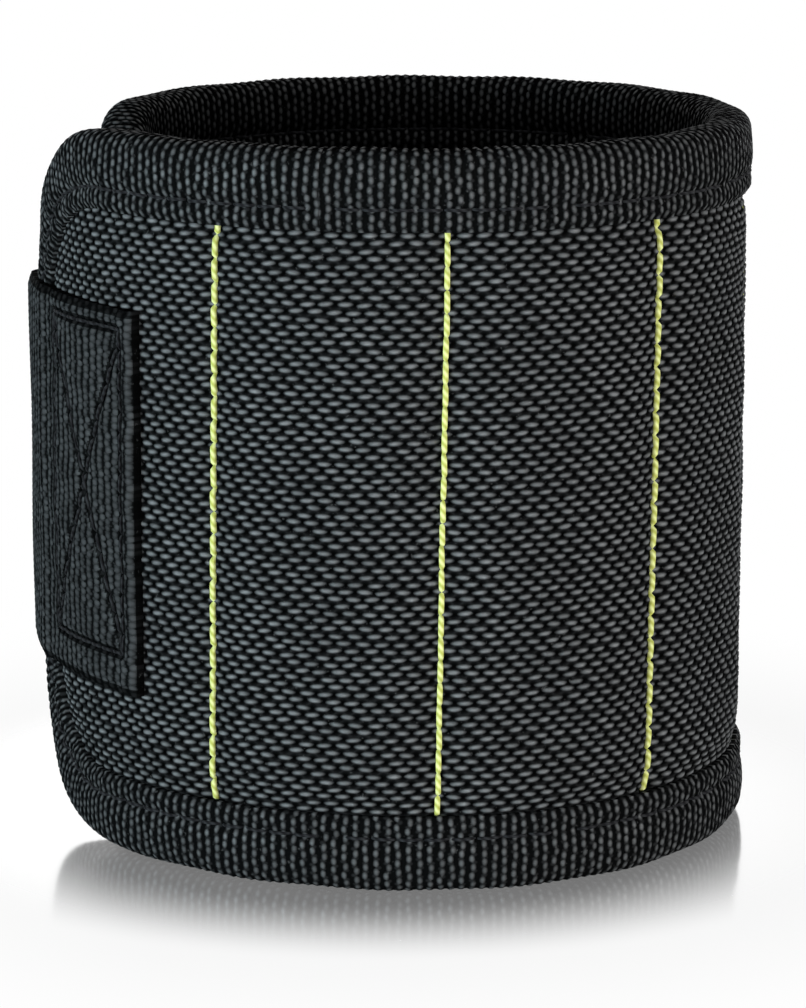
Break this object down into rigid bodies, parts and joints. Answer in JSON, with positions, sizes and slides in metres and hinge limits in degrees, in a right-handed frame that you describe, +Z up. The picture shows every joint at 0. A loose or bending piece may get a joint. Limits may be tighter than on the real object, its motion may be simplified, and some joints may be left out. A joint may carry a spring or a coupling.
{
  "type": "magnetic wristband",
  "caption": "Padded fabric wristband with disc magnets sewn into pockets that hold small steel parts, bound edges and a hook-and-loop strap that closes it round the wrist.",
  "frame": {"origin": "on the floor under the middle of the closed band's outline", "axes": "+Z up along the arm from rim to rim, -Y towards the front pockets, +X to the right, with the strapped outer end at -X"},
  "size_m": [0.0918, 0.0868, 0.09],
  "materials": {
    "cover_nylon": "black coarse plain-weave nylon with a dull sheen",
    "binding_tape": "black woven binding tape with fine ribs",
    "lining_mesh": "black breathable spacer mesh",
    "foam_core": "dark grey closed-cell foam",
    "magnet_nickel": "satin nickel plating",
    "seam_thread": "pale yellow-green twisted thread",
    "strap_webbing": "charcoal ribbed webbing",
    "hook_tape": "black hook tape",
    "loop_tape": "black brushed loop tape"
  },
  "bodies": {
    "outer_end": {"cover_outer_end": "cover_nylon", "foam_outer_end": "foam_core", "lining_outer_end": "lining_mesh", "binding_outer_end": "binding_tape", "strap_sewn_end": "strap_webbing"},
    "pocket_1": {"cover_pocket_1": "cover_nylon", "foam_pocket_1": "foam_core", "lining_pocket_1": "lining_mesh", "binding_top_1": "binding_tape", "binding_bottom_1": "binding_tape", "seam_thread_1": "seam_thread", "magnet_1_1": "magnet_nickel", "magnet_1_2": "magnet_nickel", "magnet_1_3": "magnet_nickel"},
    "pocket_2": {"cover_pocket_2": "cover_nylon", "foam_pocket_2": "foam_core", "lining_pocket_2": "lining_mesh", "binding_top_2": "binding_tape", "binding_bottom_2": "binding_tape", "seam_thread_2": "seam_thread", "magnet_2_1": "magnet_nickel", "magnet_2_2": "magnet_nickel", "magnet_2_3": "magnet_nickel"},
    "pocket_3": {"cover_pocket_3": "cover_nylon", "foam_pocket_3": "foam_core", "lining_pocket_3": "lining_mesh", "binding_top_3": "binding_tape", "binding_bottom_3": "binding_tape", "seam_thread_3": "seam_thread", "magnet_3_1": "magnet_nickel", "magnet_3_2": "magnet_nickel", "magnet_3_3": "magnet_nickel"},
    "pocket_4": {"cover_pocket_4": "cover_nylon", "foam_pocket_4": "foam_core", "lining_pocket_4": "lining_mesh", "binding_top_4": "binding_tape", "binding_bottom_4": "binding_tape", "seam_thread_4": "seam_thread", "magnet_4_1": "magnet_nickel", "magnet_4_2": "magnet_nickel", "magnet_4_3": "magnet_nickel"},
    "pocket_5": {"cover_pocket_5": "cover_nylon", "foam_pocket_5": "foam_core", "lining_pocket_5": "lining_mesh", "binding_top_5": "binding_tape", "binding_bottom_5": "binding_tape", "seam_thread_5": "seam_thread", "magnet_5_1": "magnet_nickel", "magnet_5_2": "magnet_nickel", "magnet_5_3": "magnet_nickel"},
    "loop_end": {"cover_loop_end": "cover_nylon", "foam_loop_end": "foam_core", "lining_loop_end": "lining_mesh", "binding_loop_end": "binding_tape", "loop_tape": "loop_tape", "seam_thread_6": "seam_thread"},
    "strap_span": {"strap_span": "strap_webbing"},
    "strap_tip": {"strap_tip": "strap_webbing", "hook_tape": "hook_tape"}
  },
  "joints": [
    {"name": "seam_fold_3", "type": "hinge", "parent": "pocket_2", "child": "pocket_3", "pos_m": [0.0333, -0.03164, 0.045], "axis": [0, 0, -1], "range_deg": [0, 30]},
    {"name": "seam_fold_4", "type": "hinge", "parent": "pocket_3", "child": "pocket_4", "pos_m": [0.04572, -0.00561, 0.045], "axis": [0, 0, -1], "range_deg": [0, 30]},
    {"name": "seam_fold_5", "type": "hinge", "parent": "pocket_4", "child": "pocket_5", "pos_m": [0.03817, 0.02223, 0.045], "axis": [0, 0, -1], "range_deg": [0, 30]},
    {"name": "seam_fold_6", "type": "hinge", "parent": "pocket_5", "child": "loop_end", "pos_m": [0.01431, 0.03842, 0.045], "axis": [0, 0, -1], "range_deg": [0, 30]},
    {"name": "seam_fold_2", "type": "hinge", "parent": "pocket_2", "child": "pocket_1", "pos_m": [0.00692, -0.04329, 0.045], "axis": [0, 0, 1], "range_deg": [0, 30]},
    {"name": "seam_fold_1", "type": "hinge", "parent": "pocket_1", "child": "outer_end", "pos_m": [-0.02119, -0.03634, 0.045], "axis": [0, 0, 1], "range_deg": [0, 30]},
    {"name": "strap_bend", "type": "hinge", "parent": "outer_end", "child": "strap_span", "pos_m": [-0.04519, 0.00186, 0.045], "axis": [0, 0, 1], "range_deg": [0, 75]},
    {"name": "strap_peel", "type": "hinge", "parent": "strap_span", "child": "strap_tip", "pos_m": [-0.03467, 0.02127, 0.045], "axis": [0, 0, 1], "range_deg": [0, 120]}
  ],
  "couplings": [
    {"joint": "seam_fold_1", "follows": "seam_fold_3", "ratio": 1},
    {"joint": "seam_fold_2", "follows": "seam_fold_3", "ratio": 1},
    {"joint": "seam_fold_4", "follows": "seam_fold_3", "ratio": 1},
    {"joint": "seam_fold_5", "follows": "seam_fold_3", "ratio": 1},
    {"joint": "seam_fold_6", "follows": "seam_fold_3", "ratio": 1},
    {"joint": "strap_bend", "follows": "seam_fold_3", "ratio": 2.5}
  ]
}
